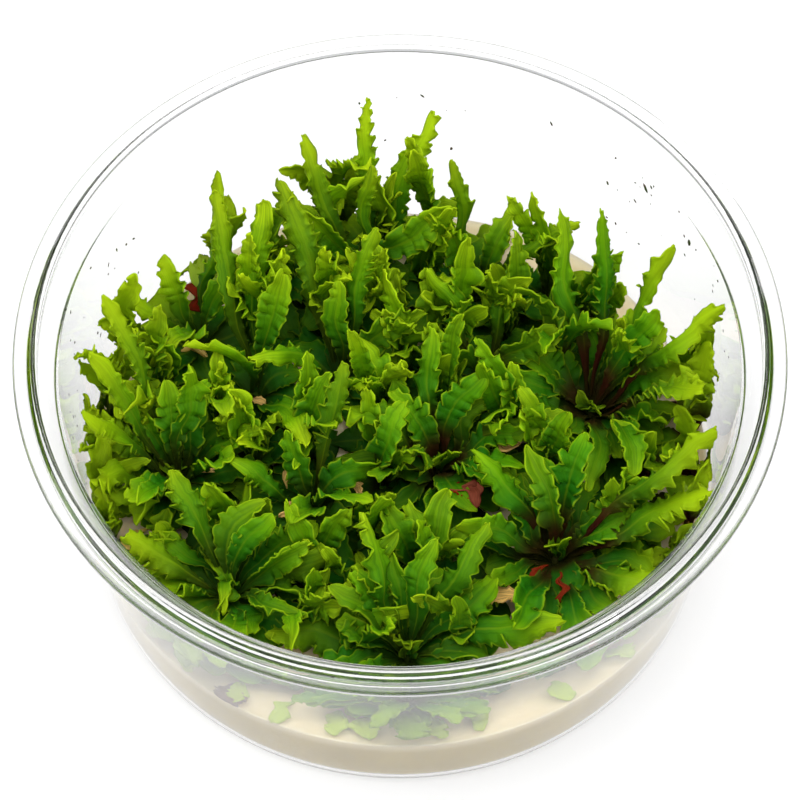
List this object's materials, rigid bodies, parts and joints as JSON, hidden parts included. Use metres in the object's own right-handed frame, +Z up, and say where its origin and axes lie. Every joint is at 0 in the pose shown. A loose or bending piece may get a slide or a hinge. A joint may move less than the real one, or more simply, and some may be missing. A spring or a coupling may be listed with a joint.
{
  "type": "tissue culture downoi plant cup",
  "caption": "Clear round culture cup of pale nutrient gel, filled with tufted plantlets of crisped green leaves.",
  "frame": {"origin": "centre of the cup's flat base, on the surface it stands on", "axes": "+Z up along the cup's own axis, +X to the viewer's right and -Y towards the viewer"},
  "size_m": [0.11, 0.11, 0.049],
  "materials": {
    "clear_cup": "gloss",
    "gel": "satin",
    "crown": "satin",
    "leaf": "satin"
  },
  "bodies": {
    "root": {"back_leaf_1": "leaf", "back_leaf_2": "leaf", "back_leaf_3": "leaf", "back_leaf_4": "leaf", "back_left_leaf_1": "leaf", "back_left_leaf_2": "leaf", "back_left_plantlet": "crown", "back_plantlet": "crown", "back_right_leaf_1": "leaf", "back_right_leaf_2": "leaf", "back_right_plantlet": "crown", "centre_leaf_1": "leaf", "centre_leaf_2": "leaf", "centre_leaf_3": "leaf", "centre_leaf_4": "leaf", "centre_plantlet": "crown", "culture_cup": "clear_cup", "front_leaf_1": "leaf", "front_leaf_2": "leaf", "front_leaf_3": "leaf", "front_leaf_4": "leaf", "front_left_leaf_1": "leaf", "front_left_leaf_2": "leaf", "front_left_leaf_3": "leaf", "front_left_plantlet": "crown", "front_plantlet": "crown", "front_right_leaf_1": "leaf", "front_right_leaf_2": "leaf", "front_right_leaf_3": "leaf", "front_right_leaf_4": "leaf", "front_right_leaf_5": "leaf", "front_right_plantlet": "crown", "left_leaf_1": "leaf", "left_leaf_2": "leaf", "left_leaf_3": "leaf", "left_leaf_4": "leaf", "left_leaf_5": "leaf", "left_plantlet": "crown", "middle_leaf_1": "leaf", "middle_leaf_2": "leaf", "middle_leaf_3": "leaf", "middle_leaf_4": "leaf", "middle_left_leaf_1": "leaf", "middle_left_leaf_2": "leaf", "middle_left_plantlet": "crown", "middle_plantlet": "crown", "middle_right_leaf_1": "leaf", "middle_right_leaf_2": "leaf", "middle_right_plantlet": "crown", "nutrient_gel": "gel", "right_leaf_1": "leaf", "right_leaf_2": "leaf", "right_leaf_3": "leaf", "right_leaf_4": "leaf", "right_leaf_5": "leaf", "right_plantlet": "crown", "tall_leaf_1": "leaf", "tall_leaf_2": "leaf", "tall_leaf_3": "leaf", "tall_plantlet": "crown"}
  },
  "joints": []
}
